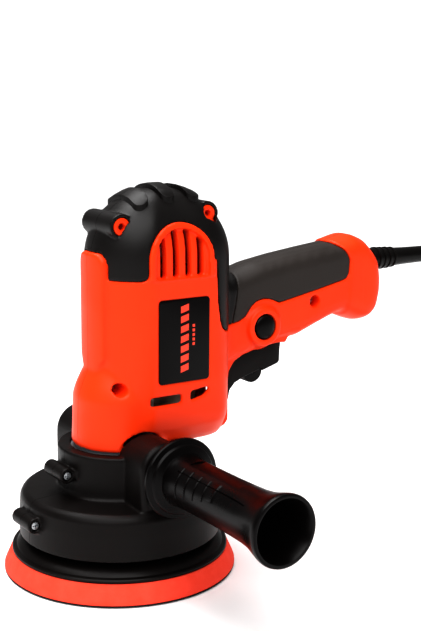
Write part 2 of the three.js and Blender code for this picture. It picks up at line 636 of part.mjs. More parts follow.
function buildTieAndPlug(inner, outer) {
  const [x, y] = COIL_CENTRE;
  const strap = box(x - outer - 1.6, x - inner + 2, y - 4, y + 4, 0.2, COIL_BASE + COIL_HEIGHT + 1.4)
    .subtract(box(x - outer - GAP, x - inner + 0.7, y - 5, y + 5, COIL_BASE - GAP, COIL_BASE + COIL_HEIGHT + GAP));
  node(polisher, 'cord_tie', strap, NATURAL);
  const tailY = y - COIL_RADIUS - COIL_STEP;
  const tail = [
    [x - COIL_REACH, tailY, CORD_Z], [x - COIL_REACH - 12, tailY, 5], [x - COIL_REACH - 24, tailY, PLUG_Z],
    [x - COIL_REACH - 30, tailY, PLUG_Z],
  ];
  node(polisher, 'cord_tail', tubeAlong(tail, CORD_RADIUS, 8), SATIN_BLACK);
  const plug = group(polisher, x - COIL_REACH - 30 - GAP, tailY, PLUG_Z);
  const outline = mirrored([[0, 5], [-12, 5.5], [-18, 13], [-40, 13.5]]);
  node(plug, 'plug_body', extruded('xy', outline, -8, 8, 2), SATIN_BLACK);
  for (const [name, pinY] of [['plug_pin_a', -6.35], ['plug_pin_b', 6.35]]) {
    node(plug, name, box(-57.5, -40.3, pinY - 0.75, pinY + 0.75, -3.2, 3.2), STEEL);
  }
}

buildSpindle();
buildArmature();
buildStator();
buildGearCase();
buildShroud();
buildHousing();
buildControls();
buildSideHandle();
buildCord();

export default polisher;
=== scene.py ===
import math

import bpy
from mathutils import Matrix, Vector


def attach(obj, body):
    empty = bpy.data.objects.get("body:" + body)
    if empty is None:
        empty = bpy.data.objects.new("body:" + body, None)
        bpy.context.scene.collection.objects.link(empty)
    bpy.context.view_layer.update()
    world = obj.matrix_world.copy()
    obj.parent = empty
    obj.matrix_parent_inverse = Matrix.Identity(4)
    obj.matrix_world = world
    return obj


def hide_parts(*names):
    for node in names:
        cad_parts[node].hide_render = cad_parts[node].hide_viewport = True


MM = 0.001
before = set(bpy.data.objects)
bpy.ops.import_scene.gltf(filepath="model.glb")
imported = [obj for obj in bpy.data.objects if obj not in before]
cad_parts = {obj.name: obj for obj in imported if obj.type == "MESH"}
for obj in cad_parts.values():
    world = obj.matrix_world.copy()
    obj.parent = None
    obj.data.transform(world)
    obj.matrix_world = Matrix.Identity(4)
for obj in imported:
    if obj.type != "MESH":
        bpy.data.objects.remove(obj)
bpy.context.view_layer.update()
scene = bpy.context.scene


# ---- camera ----------------------------------------------------------------------------------------------

CAMERA_PLACE = (-371.64, -659.22, 313.10)
CAMERA_LENS = 69.56


def place_camera():
    right = Vector((0.83202481, -0.55466385, 0.00909589))
    up = Vector((0.10012325, 0.16627717, 0.98098279))
    forward = Vector((0.54562813, 0.81529131, -0.19388147))
    bpy.ops.object.camera_add(location=Vector(CAMERA_PLACE) * MM)
    camera = bpy.context.object
    camera.data.lens = CAMERA_LENS
    camera.data.clip_start = 0.05
    camera.data.clip_end = 20
    camera.rotation_euler = Matrix((right, up, -forward)).transposed().to_euler()
    scene.camera = camera


place_camera()


# ---- shaping helpers -------------------------------------------------------------------------------------

def only(piece):
    bpy.ops.object.select_all(action="DESELECT")
    piece.select_set(True)
    bpy.context.view_layer.objects.active = piece


def settle(piece):
    """Puts the piece's place, turn and size into its mesh."""
    only(piece)
    bpy.ops.object.transform_apply(location=True, rotation=True, scale=True)
    return piece


def apply(piece, kind, **settings):
    only(piece)
    modifier = piece.modifiers.new(kind.title(), kind)
    for name, value in settings.items():
        setattr(modifier, name, value)
    bpy.ops.object.modifier_apply(modifier=modifier.name)
    return piece


def twin(piece):
    copy = piece.copy()
    copy.data = piece.data.copy()
    scene.collection.objects.link(copy)
    return copy


def drop(*pieces):
    for piece in pieces:
        bpy.data.objects.remove(piece)


def outline_face(points):
    """One flat face whose corners are the given points."""
    bpy.ops.mesh.primitive_circle_add(vertices=len(points), radius=1, fill_type="NGON")
    piece = bpy.context.object
    for vertex, point in zip(piece.data.vertices, points):
        vertex.co = Vector(point) * MM
    return piece


def slab(plane, outline, low, high):
    """An outline in one plane, extruded from one value to another along the third axis."""
    place = {
        "xz": lambda u, v: (u, low, v),
        "xy": lambda u, v: (u, v, low),
        "yz": lambda u, v: (low, u, v),
    }[plane]
    push = Vector({"xz": (0, 1, 0), "xy": (0, 0, 1), "yz": (1, 0, 0)}[plane]) * (high - low) * MM
    piece = outline_face([place(u, v) for u, v in outline])
    only(piece)
    bpy.ops.object.mode_set(mode="EDIT")
    bpy.ops.mesh.select_all(action="SELECT")
    bpy.ops.mesh.extrude_region_move(TRANSFORM_OT_translate={"value": push})
    bpy.ops.mesh.select_all(action="SELECT")
    bpy.ops.mesh.normals_make_consistent(inside=False)
    bpy.ops.object.mode_set(mode="OBJECT")
    return piece


def turned(profile, steps=64):
    """A closed profile of (radius, height) spun about Z; an edge on the axis itself is taken away first."""
    piece = outline_face([(r, 0, z) for r, z in profile])
    only(piece)
    bpy.ops.object.mode_set(mode="EDIT")
    bpy.ops.mesh.select_mode(type="EDGE")
    bpy.ops.mesh.select_all(action="SELECT")
    bpy.ops.mesh.delete(type="ONLY_FACE")
    bpy.ops.mesh.select_all(action="DESELECT")
    bpy.ops.object.mode_set(mode="OBJECT")
    for edge in piece.data.edges:
        edge.select = all(abs(piece.data.vertices[v].co.x) < 1e-9 for v in edge.vertices)
    bpy.ops.object.mode_set(mode="EDIT")
    bpy.ops.mesh.delete(type="EDGE")
    bpy.ops.mesh.select_mode(type="VERT")
    bpy.ops.mesh.select_all(action="SELECT")
    bpy.ops.mesh.spin(steps=steps, angle=2 * math.pi, center=(0, 0, 0), axis=(0, 0, 1))
    bpy.ops.mesh.select_all(action="SELECT")
    bpy.ops.mesh.remove_doubles(threshold=1e-6)
    bpy.ops.mesh.normals_make_consistent(inside=False)
    bpy.ops.object.mode_set(mode="OBJECT")
    return piece


def toward(piece, turn, x=0, y=0, z=0):
    """Turns a piece made upright and moves it to its place."""
    piece.rotation_euler = turn
    piece.location = Vector((x, y, z)) * MM
    return settle(piece)


ALONG_X = (0, math.pi / 2, 0)
OUT_LEFT = (math.pi / 2, 0, 0)


def rod(axis, radius, low, high, at=(0, 0), sides=48, far_radius=None):
    """A straight or tapered rod along an axis; 'at' holds the other two coordinates in X, Y, Z order."""
    middle = (low + high) / 2
    place, turn = {
        "x": ((middle, *at), (0, math.pi / 2, 0)),
        "y": ((at[0], middle, at[1]), (-math.pi / 2, 0, 0)),
        "z": ((*at, middle), (0, 0, 0)),
    }[axis]
    bpy.ops.mesh.primitive_cone_add(
        vertices=sides, radius1=radius * MM, radius2=(far_radius or radius) * MM, depth=(high - low) * MM,
        location=Vector(place) * MM, rotation=turn)
    return settle(bpy.context.object)


def block(x0, x1, y0, y1, z0, z1):
    bpy.ops.mesh.primitive_cube_add(size=1, location=Vector((x0 + x1, y0 + y1, z0 + z1)) * MM / 2)
    piece = bpy.context.object
    piece.scale = Vector((x1 - x0, y1 - y0, z1 - z0)) * MM
    return settle(piece)


def combine(piece, tool, operation):
    """Joins, cuts or trims the piece with a tool that is used up."""
    apply(piece, "BOOLEAN", operation=operation, object=tool, solver="MANIFOLD")
    drop(tool)
    return piece


def joined(*pieces):
    for other in pieces[1:]:
        combine(pieces[0], other, "UNION")
    return pieces[0]


def cut(piece, *tools):
    for tool in tools:
        combine(piece, tool, "DIFFERENCE")
    return piece


def common(piece, tool):
    return combine(piece, tool, "INTERSECT")


def soften(piece, voxel, passes):
    """Remakes the surface in even small faces and rounds its edges, as a moulder's fillets do."""
    apply(piece, "REMESH", mode="VOXEL", voxel_size=voxel * MM, use_smooth_shade=True)
    if passes:
        apply(piece, "SMOOTH", factor=0.5, iterations=passes)
    return piece


def shifted(piece, distance):
    """A copy whose surface is moved along its normals."""
    copy = twin(piece)
    apply(copy, "DISPLACE", strength=distance * MM, mid_level=0)
    return soften(copy, 1.8, 2)


def chamfered(piece, width, segments=2, angle=30):
    apply(piece, "BEVEL", width=width * MM, segments=segments, limit_method="ANGLE",
          angle_limit=math.radians(angle), harden_normals=False)
    return piece


def smooth(piece, angle=35):
    only(piece)
    bpy.ops.object.shade_smooth_by_angle(angle=math.radians(angle))
    return piece


def grown(outline, distance):
    """An anticlockwise outline moved outwards by a distance, inwards when it is negative."""
    moved = []
    for i, point in enumerate(outline):
        before, after = outline[i - 1], outline[(i + 1) % len(outline)]
        a = Vector((point[1] - before[1], before[0] - point[0])).normalized()
        b = Vector((after[1] - point[1], point[0] - after[0])).normalized()
        mitre = (a + b) * (distance / (1 + a.dot(b)))
        moved.append((point[0] + mitre.x, point[1] + mitre.y))
    return moved


def arc(centre, radius, start, end, steps):
    angles = [math.radians(start + (end - start) * i / steps) for i in range(steps + 1)]
    return [(centre[0] + radius * math.cos(a), centre[1] + radius * math.sin(a)) for a in angles]


def mirrored(half):
    return half + [(x, -y) for x, y in reversed(half) if abs(y) > 1e-6]


# ---- finishes --------------------------------------------------------------------------------------------

def colour(code):
    """An sRGB hex value as linear light."""
    parts = [int(code[i:i + 2], 16) / 255 for i in (1, 3, 5)]
    return [c / 12.92 if c <= 0.04045 else ((c + 0.055) / 1.055) ** 2.4 for c in parts] + [1]


def add(tree, kind, values=None, links=None, **settings):
    """Adds one node, with its settings, its sockets' values and what feeds them."""
    node = tree.nodes.new(kind)
    for name, value in settings.items():
        setattr(node, name, value)
    for name, value in (values or {}).items():
        node.inputs[name].default_value = value
    for name, source in (links or {}).items():
        tree.links.new(source, node.inputs[name])
    return node


def finish(name, shade, deep, roughness, grain, depth, spread=0.06, patch=30, stretch=(1, 1, 1), detail=2.0,
           **shader):
    """A moulded, cast or drawn surface. grain and patch are pattern sizes in mm, depth is the relief in mm.

    shade and deep are the two colours that large soft patches run between; spread is how much the roughness
    varies. Any further values go to the shader's own sockets.
    """
    made = bpy.data.materials.new(name)
    made.use_nodes = True
    tree = made.node_tree
    surface = tree.nodes["Principled BSDF"]
    where = add(tree, "ShaderNodeTexCoord")
    even = add(tree, "ShaderNodeMapping", {"Scale": stretch}, {"Vector": where.outputs["Object"]})
    patches = add(tree, "ShaderNodeTexNoise", {"Scale": 1 / (patch * MM), "Detail": 3.0},
                  {"Vector": where.outputs["Object"]})
    tint = add(tree, "ShaderNodeMix", {6: colour(shade), 7: colour(deep)}, {0: patches.outputs["Fac"]},
               data_type="RGBA")
    tree.links.new(tint.outputs[2], surface.inputs["Base Color"])
    fine = add(tree, "ShaderNodeTexNoise", {"Scale": 1 / (grain * MM), "Detail": detail, "Roughness": 0.6},
               {"Vector": even.outputs["Vector"]})
    gloss = add(tree, "ShaderNodeMapRange",
                {"From Min": 0.3, "From Max": 0.7, "To Min": max(0.02, roughness - spread),
                 "To Max": roughness + spread},
                {"Value": patches.outputs["Fac"]})
    tree.links.new(gloss.outputs["Result"], surface.inputs["Roughness"])
    relief = add(tree, "ShaderNodeBump", {"Strength": 0.8, "Distance": depth * MM},
                 {"Height": fine.outputs["Fac"]})
    tree.links.new(relief.outputs["Normal"], surface.inputs["Normal"])
    for socket, value in shader.items():
        surface.inputs[socket.replace("_", " ")].default_value = value
    return made


# Orange ABS from a lightly eroded mould: even saturated colour, soft highlights and a very low grain.
ORANGE_ABS = finish("orange_moulded_abs", "#FA4513", "#F73F0F", 0.42, 0.8, 0.012, IOR=1.45,
                    Specular_IOR_Level=0.3)
# Glass-filled nylon of the shroud, trigger, backing disc and switch: warm black, satin, slightly cloudy.
SATIN_NYLON = finish("black_glass_filled_nylon", "#100D0C", "#171312", 0.42, 0.7, 0.02, IOR=1.45,
                     Specular_IOR_Level=0.22)
# Overmoulded thermoplastic rubber of the grip: the same rubber as the cap's, its colour made a lighter
# grey-brown as painted light where the grip is lit; matt with a faint bloom.
RUBBER_PAINTED_LIGHT = finish("grey_brown_rubber_painted_light", "#2E2926", "#38322F", 0.52, 0.6, 0.03, IOR=1.45,
                     Specular_IOR_Level=0.4)
# The cap's rubber: the same rubber as the grip's, its colour made darker as painted shade; the slight sheen on
# its shoulders comes from the shader's gloss.
RUBBER_PAINTED_SHADE = finish("black_rubber_painted_shade", "#0D0A09", "#14100F", 0.42, 0.6, 0.02, IOR=1.45,
                    Specular_IOR_Level=0.38)
# Polished black ABS of the handle, dial, button and name plates.
GLOSS_ABS = finish("gloss_black_abs", "#060404", "#0C0808", 0.32, 3.0, 0.01, spread=0.05, IOR=1.45,
                  Specular_IOR_Level=0.22)
# Polyurethane foam: dull, with an open grain of cells just under a millimetre and slightly paler patches.
PU_FOAM = finish("red_polyurethane_foam", "#FF5540", "#F4452F", 0.9, 0.8, 0.22, patch=9, detail=4.0, IOR=1.45)
# Nylon hook fabric of the disc under the foam and of the cord's strap: black, with a millimetre grain.
HOOK_NYLON = finish("black_nylon_hook_fabric", "#0E0D0D", "#1A1818", 0.85, 1.1, 0.4, detail=3.0)
# Machined steel: grey, faint turning marks round the axis.
TURNED_STEEL = finish("turned_steel", "#B9BBBE", "#A4A6AA", 0.3, 0.6, 0.01, stretch=(1, 1, 6), Metallic=1.0)
# Zinc-plated screws, springs and bolt: bright with a light grain.
ZINC_STEEL = finish("zinc_plated_steel", "#C8CACC", "#B2B5B8", 0.34, 0.7, 0.02, Metallic=1.0)
# Pressed electrical sheet, half a millimetre a sheet, seen as fine lines across the stack.
LAMINATED_STEEL = finish("laminated_electrical_steel", "#6A6C70", "#505256", 0.45, 0.8, 0.1,
                         stretch=(0.1, 0.1, 1.6), Metallic=1.0)
# Hardened gear steel: dark and slightly oily.
GEAR_STEEL = finish("hardened_gear_steel", "#54565A", "#3E4044", 0.32, 0.7, 0.02, Metallic=1.0)
# Die-cast aluminium: pale grey with a sandy skin.
CAST_ALUMINIUM = finish("die_cast_aluminium", "#A9ABAE", "#8F9194", 0.5, 1.2, 0.08, Metallic=1.0)
# Enamelled copper wire: warm brown with the runs of the wire showing.
WOUND_COPPER = finish("enamelled_copper_wire", "#B4622F", "#8E4520", 0.35, 0.8, 0.2, stretch=(0.2, 0.2, 1.5),
                      Metallic=1.0)
# Pressed brass of the commutator, brush holders, bush and plug pins.
PRESSED_BRASS = finish("pressed_brass", "#C79A4B", "#A97F38", 0.35, 0.9, 0.02, Metallic=1.0)
# Pressed carbon and graphite: dull dark grey.
CARBON_BRUSH = finish("pressed_carbon", "#2A2B2E", "#1E1F21", 0.6, 0.5, 0.05)
# Uncoloured nylon of the fan and the clamp.
NATURAL_NYLON = finish("natural_nylon", "#D8D4C8", "#CBC6B6", 0.5, 1.0, 0.02, IOR=1.53)
# Flexible PVC of the mains lead, its sleeve and its plug: black with a waxy shine.
LEAD_PVC = finish("black_flexible_pvc", "#0B0908", "#110E0D", 0.35, 1.6, 0.03, IOR=1.45,
                  Specular_IOR_Level=0.25)
# Printed ink of the plates.
ORANGE_INK = finish("orange_print", "#FF4B2A", "#F4452A", 0.35, 0.6, 0.004)


def dress(piece, made):
    piece.data.materials.clear()
    piece.data.materials.append(made)
    return piece


def place(piece, name, body, made, slot, *stands_for):
    """Names a finished piece, gives it its finish, ties it to its body and hides the nodes it stands for."""
    piece.name = name
    piece.data.name = name
    dress(piece, made)
    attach(piece, body)
    if stands_for:
        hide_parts(*stands_for)
    return piece


# ---- cord ------------------------------------------------------------------------------------------------

CORD_RADIUS = 3.5
COIL_CENTRE = (300, -66)
COIL_REACHES = (47.3, 40, 32.7)
COIL_LOW, COIL_HIGH = 5.0, 12.3
TURN_STEPS = 16


def coil_points():
    """Six turns, clockwise from above: three across and two high, with an easy step from each to the next."""
    rings = [(reach, COIL_LOW) for reach in COIL_REACHES]
    rings += [(reach, COIL_HIGH) for reach in reversed(COIL_REACHES)]
    points = []
    for turn, (radius, height) in enumerate(rings):
        after = rings[min(turn + 1, len(rings) - 1)]
        for step in range(TURN_STEPS):
            share = max(0.0, (step - 10) / 6)
            ease = share * share * (3 - 2 * share)
            angle = -2 * math.pi * step / TURN_STEPS
            reach = radius + (after[0] - radius) * ease
            points.append((COIL_CENTRE[0] + reach * math.cos(angle), COIL_CENTRE[1] + reach * math.sin(angle),
                           height + (after[1] - height) * ease))
    return points


def route():
    run = [(262.3, 0, 183.4), (268, 0, 183.2), (274, 0, 182.2), (282, 0, 179), (289, 0, 173.4), (295, 0, 166),
           (299, 0, 157), (301.3, 0, 146), (302.3, 0, 132), (302.8, 0, 115), (303.2, 0, 95), (303.4, 0, 72),
           (304, 0, 50), (305.6, 0, 36), (309, 0, 24), (314.6, -1.2, 14.6), (322, -4, 8.4), (330, -8, 5),
           (338, -14, 4), (344, -24, 3.9), (347, -38, 4.1), (347.4, -52, 4.6)]
    tail = [(347.3, -74, 12.3), (343, -90, 11.8), (333, -103, 10), (318, -111, 7), (300, -114.2, 4.6),
            (286, -114, 3.9), (273, -113.4, 3.9), (261, -113.3, 5), (253, -113.3, 7.4), (248, -113.3, 8.4),
            (243, -113.3, 8.4)]
    return run + coil_points() + tail


def cord_curve():
    points = route()
    bpy.ops.curve.primitive_bezier_curve_add()
    curve = bpy.context.object
    curve.data.splines.clear()
    spline = curve.data.splines.new("NURBS")
    spline.points.add(len(points) - 1)
    for target, point in zip(spline.points, points):
        target.co = (*(Vector(point) * MM), 1)
    spline.use_endpoint_u = True
    spline.order_u = 4
    curve.data.dimensions = "3D"
    curve.data.resolution_u = 6
    curve.data.bevel_depth = CORD_RADIUS * MM
    curve.data.bevel_resolution = 4
    curve.data.use_fill_caps = True
    return settle(curve)


# ---- housing: one outer form, from which the two orange halves and the four soft skins are cut ------------

GRIP_OUTLINE = [
    (60, 121), (80.5, 126.2), (99.2, 130.8), (117.2, 135.6), (132.8, 137), (147.5, 142.5), (161.1, 147.2),
    (171.4, 150), (177.9, 146.6), (186.6, 143.1), (196.6, 144.1), (203.7, 150.5), (206.2, 162.9),
    (206.2, 174.2), (204.2, 185.6), (198.8, 192.6), (191.4, 199.8), (181.3, 203.7), (163.4, 199.4),
    (145.8, 197.4), (119.5, 194), (97.8, 190.3), (81.7, 185.4), (60, 183)]
# How wide the grip is at each level, and how far that level's outline lies inside the full one
GRIP_LAYERS = [(18, 8.5), (16.8, 5.4), (14.6, 2.8), (11, 1), (6.5, 0)]
# Thickness of the rubber skins and of the bare orange wall, and how far below the form the hollow starts where
# the orange lies under a skin or carries the arch
SKIN = 2.9
WALL_DEPTH = 7.6
# How far the arch and the grip's end ring stand out, and how far the arch's field and the ring's slot lie below
# the form
PROUD = 1.0
SLOT_DEPTH = 1.8
# Voxel size of the finished housing, and half the hair line between two halves of a moulding
FINE_VOXEL = 0.92
HALF_SEAM = 0.12
SOFT_GRIP_OUTLINE = [
    (75.2, 153.4), (81, 154.6), (85.7, 157), (90.5, 163.6), (94.4, 166.4), (99.2, 167.6), (104, 167.4),
    (108.2, 166.1), (113.3, 163.8), (145.9, 169.9), (166.2, 174.1), (170.8, 175.4), (172.9, 178.2),
    (173.6, 188), (170.5, 194), (164, 199.5), (160, 215), (75.2, 215)]
SPINE_OUTLINE = [
    (51.5, 215), (52.6, 190), (53.6, 172), (55.4, 160), (57.5, 155.2), (61, 152.6), (66, 152), (75, 153.4),
    (77.5, 165), (79.5, 180), (84, 192), (95, 200), (95, 215)]
END_RING_OUTLINE = [
    (174.4, 140), (200.5, 140), (203.6, 150), (203.6, 186), (197, 210), (160, 210), (166, 199), (171.6, 194),
    (175, 188), (174.4, 178)]
ARCH_CENTRE = (26.4, 200.8)
ARCH_RADIUS = 23.4
ARCH_SLOTS = (11.5, 20.5, 29.5, 38.5)
HOUSING_SCREWS = ((-12.6, 121.6), (143.5, 161.7), (-8, 222), (53, 227))
# The arch's slots end on a circle of this radius
SLOT_FIELD_RADIUS = 19.4
# Where the side handle starts and the height of its axis
HANDLE_Y = -58.3
HANDLE_Z = 77.1
TRIGGER_OUTLINE = [
    (76.4, 99.4), (78, 106.8), (82, 111.1), (88.9, 114), (98, 116.6), (104, 118.6), (104.4, 116.6),
    (106, 117), (117.6, 120.4), (118.8, 122), (119, 130), (119.8, 137.6), (124, 139), (126, 143), (115, 143),
    (112, 138), (99.2, 136.4), (86.7, 134), (79.5, 129.8), (76.2, 125)]
TRIGGER_PIVOT = (121, 139)
TRIGGER_TRAVEL = 8
DIAL_CENTRE = (98.6, 116.4)
DIAL_NOTCHES = 24
LOCK_CENTRE = (99.5, 149)
MOTOR_X = 24
FAR = 400


def barrel_outline():
    return mirrored(arc((15, 0), 35, 180, 103.8, 14) + arc((50.5, 14.5), 19.5, 90, 0, 9))


def dome(grow):
    """The rounded top over the barrel: the barrel's outline drawn in level by level."""
    piece = outline_face([(x, y, 200) for x, y in grown(barrel_outline(), -grow)])
    only(piece)
    bpy.ops.object.mode_set(mode="EDIT")
    bpy.ops.mesh.select_all(action="SELECT")
    before, level = 1, 200
    for step in range(1, 15):
        turn = math.radians(6.3 * step)
        height, scale = 200 + (43.8 + grow) * math.sin(turn), math.cos(turn)
        bpy.ops.mesh.extrude_region_move(TRANSFORM_OT_translate={"value": (0, 0, (height - level) * MM)})
        ratio = scale / before
        bpy.ops.transform.resize(value=(ratio, ratio, 1), center_override=(28 * MM, 0, height * MM))
        before, level = scale, height
    bpy.ops.mesh.select_all(action="SELECT")
    bpy.ops.mesh.normals_make_consistent(inside=False)
    bpy.ops.object.mode_set(mode="OBJECT")
    return piece


def loft(outline, sections):
    """A flat outline drawn out through levels of (height, scale across Y)."""
    level, width = sections[0]
    piece = outline_face([(x, y * width, level) for x, y in outline])
    only(piece)
    bpy.ops.object.mode_set(mode="EDIT")
    bpy.ops.mesh.select_all(action="SELECT")
    for height, scale in sections[1:]:
        bpy.ops.mesh.extrude_region_move(TRANSFORM_OT_translate={"value": (0, 0, (height - level) * MM)})
        bpy.ops.transform.resize(value=(1, scale / width, 1), center_override=(0, 0, height * MM))
        level, width = height, scale
    bpy.ops.mesh.select_all(action="SELECT")
    bpy.ops.mesh.normals_make_consistent(inside=False)
    bpy.ops.object.mode_set(mode="OBJECT")
    return piece


def rib():
    outline = [(-14.5, 140), (-7, 130), (7, 130), (14.5, 140), (14.5, 197)] \
        + arc((7.5, 198), 7, 0, 90, 4) + arc((-7.5, 198), 7, 90, 180, 4) + [(-14.5, 197)]
    return common(slab("yz", outline, -30, 0), rod("z", 37.4, 120, 210, (15, 0), 128))


def outer_form():
    belly = loft(barrel_outline(), [(122, 1), (101, 0.985), (94, 0.93), (85, 0.72), (79.5, 0.5)])
    neck = turned([(0, 81.9), (32, 81.9), (31.4, 92), (30.8, 114), (28.5, 121), (21, 137), (0, 137)], 96)
    neck.location.x = 1.2 * MM
    grip = [slab("xz", grown(GRIP_OUTLINE, -inset), -half, half) for half, inset in GRIP_LAYERS]
    main = soften(joined(
        slab("xy", barrel_outline(), 121, 200), belly, settle(neck), *grip, dome(0)), 1.4, 6)
    column = [slab("xz", column_outline(reach), -half, half)
              for half, reach in ((14, 75.2), (11.5, 76.8), (8, 79))]
    return soften(joined(main, rib(), *column), 1.15, 2)


def column_outline(reach):
    """The column in front of the trigger, with its foot and the curve by which it runs into the grip."""
    return [
        (46, 84), (51, 79.6), (56, 80.6), (reach - 3, 83.6), (reach, 87), (reach, 116), (reach + 0.6, 120.4),
        (80, 126.4), (86, 129.8), (96, 132.4), (108, 134.2), (116, 135), (122.4, 134.4), (126, 142),
        (100, 146), (60, 146), (50, 120)]


def zone(outline, grow=0.0):
    return slab("xz", grown(outline, grow), -70, 70)


def arch_outline(grow, bottom):
    x, radius = ARCH_CENTRE[0], ARCH_RADIUS + grow
    return [(x - radius, bottom), (x + radius, bottom)] + arc(ARCH_CENTRE, radius, 0, 180, 24)


def grip_zone(grow):
    return cut(zone(SOFT_GRIP_OUTLINE, grow), zone(SPINE_OUTLINE, -grow if grow else 0.25))


def cap_zone(grow):
    """Everything the cap covers: above the barrel's top edge, except the rib and the arch."""
    outline = [
        (-70, 189.5), (-0.6, 189.5), (1.6, 190.2), (2.8, 192), (3, 194), (10, 200), (95, 200), (95, 270),
        (-70, 270)]
    sheet = cut(zone(outline, grow), zone(arch_outline(-grow, 150)))
    hood = [(-15 + grow, 150), (15 - grow, 150), (15 - grow, 197.6)] + arc((7.5, 198), 7.5 - grow, 0, 90, 4) \
        + arc((-7.5, 198), 7.5 - grow, 90, 180, 4) + [(-15 + grow, 197.6)]
    return cut(sheet, slab("yz", hood, -70, -8))


def soft_zones(grow):
    return joined(cap_zone(grow), zone(SPINE_OUTLINE, grow), zone(SOFT_GRIP_OUTLINE, grow))


def bands():
    """Three raised grip bands over the top, with round ends."""
    made = []
    for x in (6.5, 25, 43.5):
        outline = arc((x, 15.5), 4.8, 0, 180, 10) + arc((x, -15.5), 4.8, 180, 360, 10)
        made.append(chamfered(
            cut(common(slab("xy", outline, 205, 260), dome(2.6)), dome(-2.5)), 0.8, 3, 40))
    return made


def eyes(radius, reach, more=1.8):
    return [rod("y", radius, -reach - extra, reach + extra, at)
            for at, extra in zip(HOUSING_SCREWS[2:], (0, more))]


def boss_outline(grow):
    half = 17 + grow
    return arc((0, HANDLE_Z), half, 0, 180, 16) + [(-half, 52), (half, 52)]


def trigger_space():
    swept = []
    for degrees in range(0, TRIGGER_TRAVEL + 1, 2):
        pocket = slab("xz", grown(TRIGGER_OUTLINE, 0.9), -12.3, 12.3)
        turn = Matrix.Rotation(math.radians(degrees), 4, "Y")
        pivot = Matrix.Translation(Vector((TRIGGER_PIVOT[0], 0, TRIGGER_PIVOT[1])) * MM)
        pocket.matrix_world = pivot @ turn @ pivot.inverted()
        swept.append(settle(pocket))
    return joined(*swept)


def housing_openings():
    openings = [
        rod("z", 29.3, 70, 90), rod("z", 40.3, 40, 82.2), rod("z", 15.6, 70, 97, (MOTOR_X, 0)),
        rod("x", 5.6, 193, 215, (0, 184)), rod("y", 8.7, -40, -10, LOCK_CENTRE),
        slab("xz", boss_outline(0.5), -80, -27), slab("xz", boss_outline(0.5), 27, 80), trigger_space()]
    openings += [rod("y", 2.3, -14, 13, at, 24) for at in HOUSING_SCREWS]
    openings += [rod("y", 4.1, -60, -9, at) for at in HOUSING_SCREWS[:2]]
    openings += [rod("y", 2.2, -60, -9, at) for at in HOUSING_SCREWS[2:]]
    openings += [rod("y", 3.2, -14, -8, at) for at in HOUSING_SCREWS[2:]]
    for x in ARCH_SLOTS:
        left, right = (
            ARCH_CENTRE[1] + math.sqrt(SLOT_FIELD_RADIUS ** 2 - (edge - ARCH_CENTRE[0]) ** 2)
            for edge in (x, x + 4))
        openings.append(zone([(x, 190.2), (x + 4, 190.2), (x + 4, right), (x, left)]))
    for low, high in ((-60, -20), (20, 60)):
        openings.append(block(4, 26, low, high, 110.4, 116))
        openings.append(
            slab("xz", [(33, 111), (42.6, 113.2), (46.2, 116.2), (46.8, 118.6), (33, 117)], low, high))
    # A small marking slit in the column in front of the trigger
    slit = [(71.6, 129), (72.6, 129), (74.6, 139), (73.6, 139)]
    openings += [slab("xz", slit, low, high) for low, high in ((-30, -13), (13, 30))]
    return openings


def halves(whole):
    """The two halves of a split moulding, with a hair line between them."""
    for name, sign in (("left", -1), ("right", 1)):
        low, high = sorted((sign * HALF_SEAM, sign * FAR))
        yield name, common(twin(whole), block(-FAR, FAR, low, high, -FAR, FAR))
    drop(whole)


def make_housing():
    form = outer_form()
    under_skin = shifted(form, -SKIN)
    depth = shifted(form, -WALL_DEPTH)
    proud = shifted(form, PROUD)
    recess = shifted(form, -SLOT_DEPTH)

    body = cut(twin(form), soft_zones(0.25))
    arch = common(twin(proud), zone(arch_outline(-0.2, 189.6)))
    body = joined(body, twin(under_skin), arch, *eyes(5.6, 19))
    # The grip's end ring stands a little proud of the rubber and carries one shallow slot on each side
    body = joined(body, common(twin(proud), zone(END_RING_OUTLINE)))
    slot = zone([(186, 154.5), (187.3, 154.5), (186.8, 181.5), (185.5, 181.5)])
    body = cut(body, cut(joined(zone(arch_outline(-3.8, 189.8)), slot), recess))
    collar = rod("y", 12.4, -21.6, -8, LOCK_CENTRE, 96, far_radius=19.4)
    body = joined(body, cut(collar, rod("y", 8.7, -40, -10, LOCK_CENTRE)))
    body = cut(body, *[slab("xz", plate_outline(0.4), *sorted((sign * 33.2, sign * 50))) for sign in (-1, 1)])
    seats = [rod("y", 6.6, -34, 14, at) for at in HOUSING_SCREWS[:2]] \
        + [rod("y", 5.2, -14, 14, at) for at in HOUSING_SCREWS[2:]]
    cavity = joined(cut(twin(under_skin), soft_zones(3.2), zone(arch_outline(2, 186))), depth)
    body = cut(body, cavity)
    body = joined(body, *[common(seat, twin(under_skin)) for seat in seats])
    body = cut(body, *housing_openings())
    drop(proud)
    for name, half in halves(soften(body, FINE_VOXEL, 2)):
        place(smooth(half), f"orange_shell_{name}", "housing", ORANGE_ABS, "orange_plastic",
              f"housing_{name}")

    cap = common(joined(twin(form), *eyes(8, 18.7)), joined(cap_zone(0), zone(SPINE_OUTLINE)))
    cap = cut(cap, twin(under_skin), *eyes(5.8, 19.2, 8))
    grip = cut(common(twin(form), grip_zone(0)), under_skin)
    # The cap's skins take the copy of the rubber painted darker as painted shade.
    for name, half in halves(joined(soften(cap, FINE_VOXEL, 2), *bands())):
        place(smooth(half), f"motor_cap_{name}", "housing", RUBBER_PAINTED_SHADE, "soft_rubber", f"cap_cover_{name}")
    # The grip's skins take the copy of the rubber painted lighter as painted light.
    for name, half in halves(soften(grip, FINE_VOXEL, 2)):
        place(smooth(half), f"grip_skin_{name}", "housing", RUBBER_PAINTED_LIGHT, "soft_rubber", f"grip_cover_{name}")
    drop(form)


# ---- name plates -----------------------------------------------------------------------------------------

